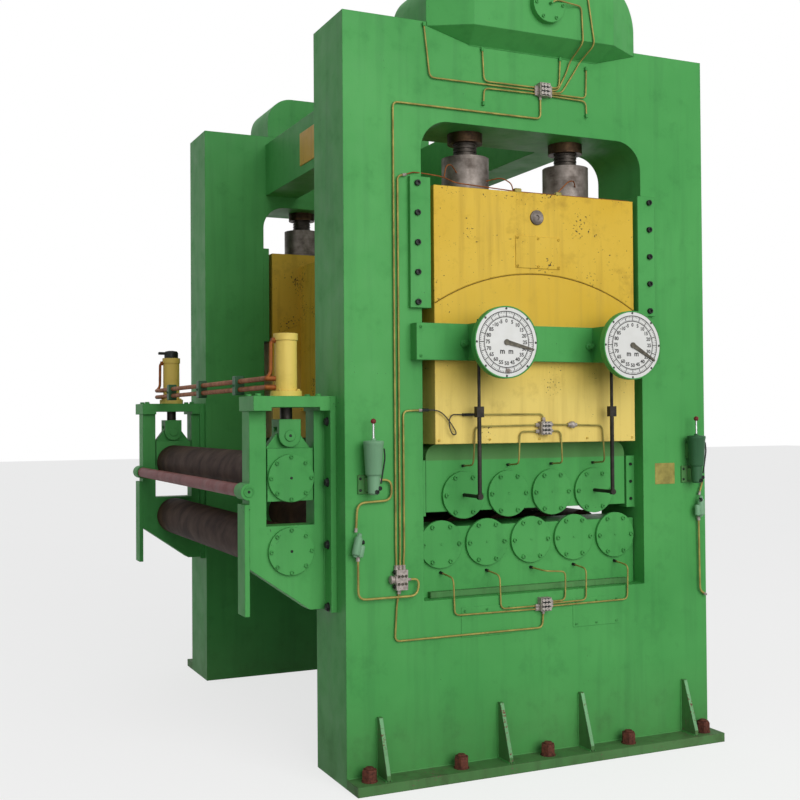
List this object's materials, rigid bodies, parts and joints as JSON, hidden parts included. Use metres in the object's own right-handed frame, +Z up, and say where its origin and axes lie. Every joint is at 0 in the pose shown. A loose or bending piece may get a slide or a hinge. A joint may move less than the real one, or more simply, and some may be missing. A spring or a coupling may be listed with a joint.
{
  "type": "coil leveler",
  "caption": "Heavy roll leveler for coil strip: tall window housings, screwed-down beam with a tilting rocker, staggered work rolls, gap dials and an entry pinch-roll stand.",
  "frame": {"origin": "on the floor, at the centre of the four corner anchor-bolt holes", "axes": "+X along the strip from entry to exit, +Y from the operator side to the far side, +Z up"},
  "size_m": [2.2289, 2.894, 3.438],
  "materials": {
    "green_paint": "satin",
    "yellow_paint": "satin",
    "red_paint": "worn",
    "dark_paint": "worn",
    "dial_white": "satin",
    "bare_steel": "worn",
    "dark_steel": "oiled",
    "roll_steel": "worn",
    "rod_chrome": "polished",
    "bronze": "oiled",
    "copper": "satin"
  },
  "bodies": {
    "frame": {"near_housing": "green_paint", "far_housing": "green_paint", "base_flanges": "green_paint", "gear_cases": "green_paint", "gear_case_covers": "green_paint", "tie_beams": "green_paint", "beam_guides": "green_paint", "chock_keepers": "green_paint", "lower_chocks": "green_paint", "lower_roll_covers": "green_paint", "lower_bed": "green_paint", "screw_nuts": "bronze", "gauge_bar": "green_paint", "gauge_boxes": "green_paint", "gauge_dials": "dial_white", "pinch_brackets": "green_paint", "entry_plates": "green_paint", "entry_bar": "red_paint", "pinch_caps": "green_paint", "pinch_cylinders": "yellow_paint", "pinch_lower_covers": "green_paint", "pinch_pipes": "copper", "lube_pumps": "dark_paint", "lube_filters": "copper", "lube_blocks": "bare_steel"},
    "upper_beam": {"upper_blocks": "yellow_paint", "upper_girder": "yellow_paint", "screw_cups": "bare_steel", "screws": "bare_steel"},
    "rocker": {"rocker_blocks": "yellow_paint", "rocker_girder": "yellow_paint", "upper_chocks": "green_paint", "upper_roll_covers": "green_paint", "indicator_rods": "dark_steel", "rocker_lube_block": "bare_steel"},
    "pinch_carriage": {"pinch_chocks": "green_paint", "pinch_clevises": "green_paint", "pinch_rods": "rod_chrome", "pinch_upper_covers": "green_paint"},
    "lower_roll_1": {"lower_roll_1": "roll_steel"},
    "lower_roll_2": {"lower_roll_2": "roll_steel"},
    "lower_roll_3": {"lower_roll_3": "roll_steel"},
    "lower_roll_4": {"lower_roll_4": "roll_steel"},
    "lower_roll_5": {"lower_roll_5": "roll_steel"},
    "upper_roll_1": {"upper_roll_1": "roll_steel"},
    "upper_roll_2": {"upper_roll_2": "roll_steel"},
    "upper_roll_3": {"upper_roll_3": "roll_steel"},
    "upper_roll_4": {"upper_roll_4": "roll_steel"},
    "pinch_lower_roll": {"pinch_lower_roll": "roll_steel"},
    "pinch_upper_roll": {"pinch_upper_roll": "roll_steel"},
    "left_pointer": {"left_pointer": "dark_steel"},
    "right_pointer": {"right_pointer": "dark_steel"}
  },
  "joints": [
    {"name": "screwdown", "type": "slide", "parent": "frame", "child": "upper_beam", "axis": [0, 0, 1], "range_m": [-0.02, 0.06]},
    {"name": "rocker_tilt", "type": "hinge", "parent": "upper_beam", "child": "rocker", "pos_m": [0, 0, 1.176], "axis": [0, 1, 0], "range_deg": [-0.8, 0.8]},
    {"name": "pinch_lift", "type": "slide", "parent": "frame", "child": "pinch_carriage", "axis": [0, 0, 1], "range_m": [-0.095, 0.025]},
    {"name": "lower_roll_1_spin", "type": "hinge", "parent": "frame", "child": "lower_roll_1", "pos_m": [-0.45, 0, 0.967], "axis": [0, 1, 0], "continuous": true},
    {"name": "lower_roll_2_spin", "type": "hinge", "parent": "frame", "child": "lower_roll_2", "pos_m": [-0.225, 0, 0.967], "axis": [0, 1, 0], "continuous": true},
    {"name": "lower_roll_3_spin", "type": "hinge", "parent": "frame", "child": "lower_roll_3", "pos_m": [0, 0, 0.967], "axis": [0, 1, 0], "continuous": true},
    {"name": "lower_roll_4_spin", "type": "hinge", "parent": "frame", "child": "lower_roll_4", "pos_m": [0.225, 0, 0.967], "axis": [0, 1, 0], "continuous": true},
    {"name": "lower_roll_5_spin", "type": "hinge", "parent": "frame", "child": "lower_roll_5", "pos_m": [0.45, 0, 0.967], "axis": [0, 1, 0], "continuous": true},
    {"name": "upper_roll_1_spin", "type": "hinge", "parent": "rocker", "child": "upper_roll_1", "pos_m": [-0.3375, 0, 1.176], "axis": [0, -1, 0], "continuous": true},
    {"name": "upper_roll_2_spin", "type": "hinge", "parent": "rocker", "child": "upper_roll_2", "pos_m": [-0.1125, 0, 1.176], "axis": [0, -1, 0], "continuous": true},
    {"name": "upper_roll_3_spin", "type": "hinge", "parent": "rocker", "child": "upper_roll_3", "pos_m": [0.1125, 0, 1.176], "axis": [0, -1, 0], "continuous": true},
    {"name": "upper_roll_4_spin", "type": "hinge", "parent": "rocker", "child": "upper_roll_4", "pos_m": [0.3375, 0, 1.176], "axis": [0, -1, 0], "continuous": true},
    {"name": "pinch_lower_spin", "type": "hinge", "parent": "frame", "child": "pinch_lower_roll", "pos_m": [-1.095, 0, 0.962], "axis": [0, 1, 0], "continuous": true},
    {"name": "pinch_upper_spin", "type": "hinge", "parent": "pinch_carriage", "child": "pinch_upper_roll", "pos_m": [-1.095, 0, 1.266], "axis": [0, -1, 0], "continuous": true},
    {"name": "left_pointer_turn", "type": "hinge", "parent": "frame", "child": "left_pointer", "pos_m": [-0.2975, -1.505, 1.8225], "axis": [0, 1, 0], "range_deg": [-75, 220]},
    {"name": "right_pointer_turn", "type": "hinge", "parent": "frame", "child": "right_pointer", "pos_m": [0.3325, -1.505, 1.8225], "axis": [0, 1, 0], "range_deg": [-75, 220]}
  ],
  "couplings": [
    {"joint": "lower_roll_1_spin", "follows": "lower_roll_3_spin", "ratio": 1},
    {"joint": "lower_roll_2_spin", "follows": "lower_roll_3_spin", "ratio": 1},
    {"joint": "lower_roll_4_spin", "follows": "lower_roll_3_spin", "ratio": 1},
    {"joint": "lower_roll_5_spin", "follows": "lower_roll_3_spin", "ratio": 1},
    {"joint": "upper_roll_1_spin", "follows": "lower_roll_3_spin", "ratio": 1},
    {"joint": "upper_roll_2_spin", "follows": "lower_roll_3_spin", "ratio": 1},
    {"joint": "upper_roll_3_spin", "follows": "lower_roll_3_spin", "ratio": 1},
    {"joint": "upper_roll_4_spin", "follows": "lower_roll_3_spin", "ratio": 1},
    {"joint": "pinch_lower_spin", "follows": "lower_roll_3_spin", "ratio": 0.95},
    {"joint": "pinch_upper_spin", "follows": "lower_roll_3_spin", "ratio": 0.95},
    {"joint": "left_pointer_turn", "follows": "screwdown", "rad_per_m": 62.832},
    {"joint": "right_pointer_turn", "follows": "screwdown", "rad_per_m": 62.832}
  ]
}
